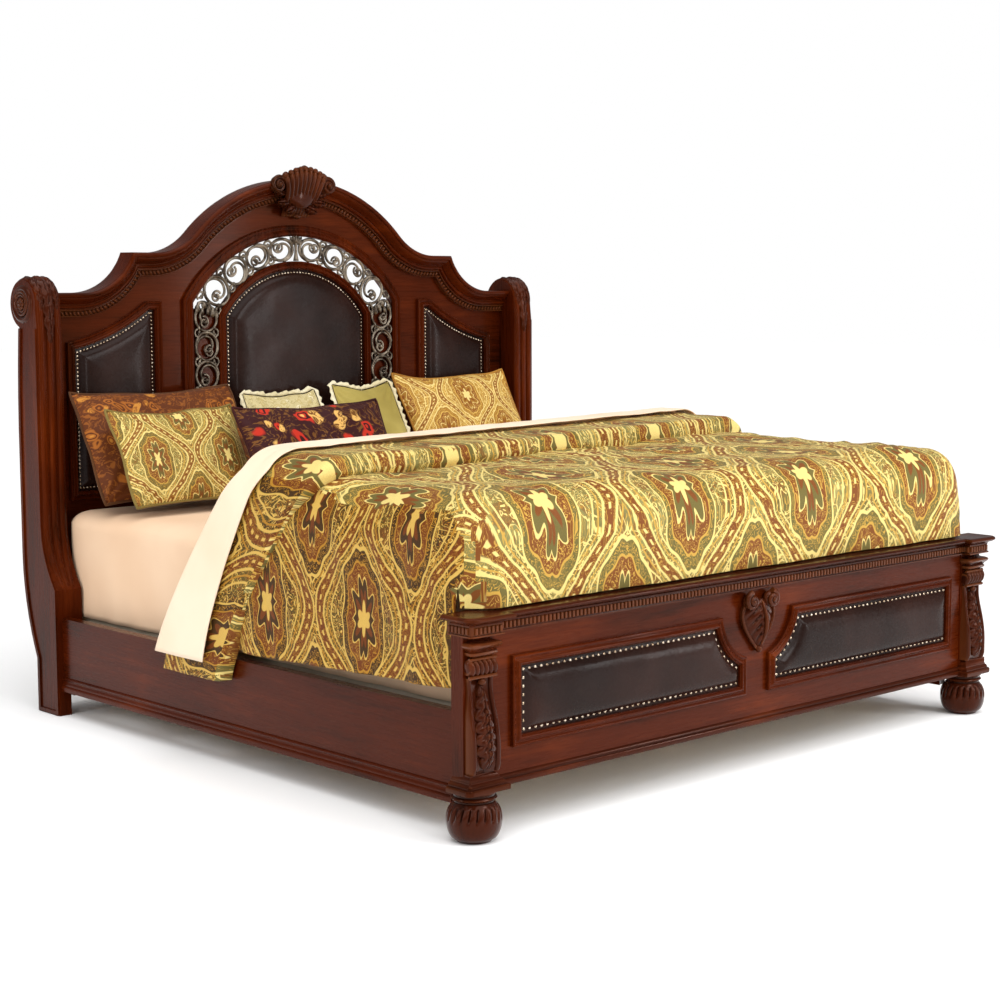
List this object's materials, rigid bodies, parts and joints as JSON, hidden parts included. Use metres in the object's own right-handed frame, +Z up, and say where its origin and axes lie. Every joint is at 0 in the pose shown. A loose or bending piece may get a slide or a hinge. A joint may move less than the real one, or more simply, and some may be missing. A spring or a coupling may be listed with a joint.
{
  "type": "sleigh bed",
  "caption": "King-size bed with a tall arched, carved headboard with scroll posts, a low panelled footboard on bun feet, plain side rails, mattress, comforter and pillows.",
  "frame": {"origin": "on the floor, at the middle of the overall box", "axes": "+Z up, +Y from the footboard to the headboard, +X to the right seen from the foot"},
  "size_m": [2.23, 2.2469, 1.756],
  "materials": {
    "cherry_wood": "glossy lacquer",
    "dark_cherry": "glossy lacquer",
    "antique_carving": "antique bronze over brown",
    "brown_leather": "semi-gloss",
    "nail_metal": "antique",
    "raw_pine": "unfinished",
    "bracket_steel": "plated",
    "insert_brass": "plain",
    "glide_plastic": "matt",
    "foundation_fabric": "woven",
    "mattress_fabric": "knitted",
    "fitted_sheet": "sateen",
    "top_sheet": "sateen",
    "comforter_jacquard": "jacquard",
    "pillow_brown": "jacquard",
    "pillow_sage": "jacquard",
    "pillow_cream": "jacquard",
    "pillow_burgundy": "jacquard",
    "pillow_olive": "sateen",
    "pillow_gold": "damask"
  },
  "bodies": {
    "bed": {"headboard_board": "cherry_wood", "headboard_lower_rail": "cherry_wood", "headboard_post_left": "cherry_wood", "headboard_post_right": "cherry_wood", "post_reeding": "cherry_wood", "post_side_mouldings": "dark_cherry", "post_acanthus": "dark_cherry", "scroll_rosettes": "dark_cherry", "crown_moulding": "cherry_wood", "crown_rope_band": "dark_cherry", "crest_shell": "dark_cherry", "arch_outer_frame": "cherry_wood", "arch_fretwork": "antique_carving", "arch_inner_frame": "cherry_wood", "side_frame_left": "cherry_wood", "side_frame_right": "cherry_wood", "leather_centre_panel": "brown_leather", "leather_left_panel": "brown_leather", "leather_right_panel": "brown_leather", "nailheads": "nail_metal", "footboard_panel": "cherry_wood", "footboard_cap": "dark_cherry", "footboard_dentil_band": "dark_cherry", "footboard_base_moulding": "dark_cherry", "footboard_frame_left": "cherry_wood", "footboard_frame_right": "cherry_wood", "footboard_leather_left": "brown_leather", "footboard_leather_right": "brown_leather", "footboard_cartouche": "dark_cherry", "footboard_post_left": "cherry_wood", "footboard_post_right": "cherry_wood", "post_capitals": "dark_cherry", "corbels": "dark_cherry", "bun_foot_left": "dark_cherry", "bun_foot_right": "dark_cherry", "side_rail_left": "cherry_wood", "side_rail_right": "cherry_wood", "rail_mouldings": "dark_cherry", "rail_cleats": "raw_pine", "rail_hook_plates": "bracket_steel", "post_slot_plates": "bracket_steel", "wood_screws": "bracket_steel", "bed_slats": "raw_pine", "support_legs": "raw_pine", "leg_inserts": "insert_brass", "foundation": "foundation_fabric", "mattress": "mattress_fabric", "fitted_sheet": "fitted_sheet", "top_sheet": "top_sheet", "comforter": "comforter_jacquard", "pillow_left_back": "pillow_brown", "pillow_left_front": "pillow_sage", "pillow_cream": "pillow_cream", "pillow_floral": "pillow_burgundy", "pillow_olive": "pillow_olive", "pillow_right_gold": "pillow_gold"},
    "front_glide": {"glide_front": "glide_plastic"},
    "middle_glide": {"glide_middle": "glide_plastic"},
    "rear_glide": {"glide_rear": "glide_plastic"}
  },
  "joints": [
    {"name": "glide_front_travel", "type": "slide", "parent": "bed", "child": "front_glide", "axis": [0, 0, -1], "range_m": [0, 0.012]},
    {"name": "glide_middle_travel", "type": "slide", "parent": "bed", "child": "middle_glide", "axis": [0, 0, -1], "range_m": [0, 0.012]},
    {"name": "glide_rear_travel", "type": "slide", "parent": "bed", "child": "rear_glide", "axis": [0, 0, -1], "range_m": [0, 0.012]}
  ]
}
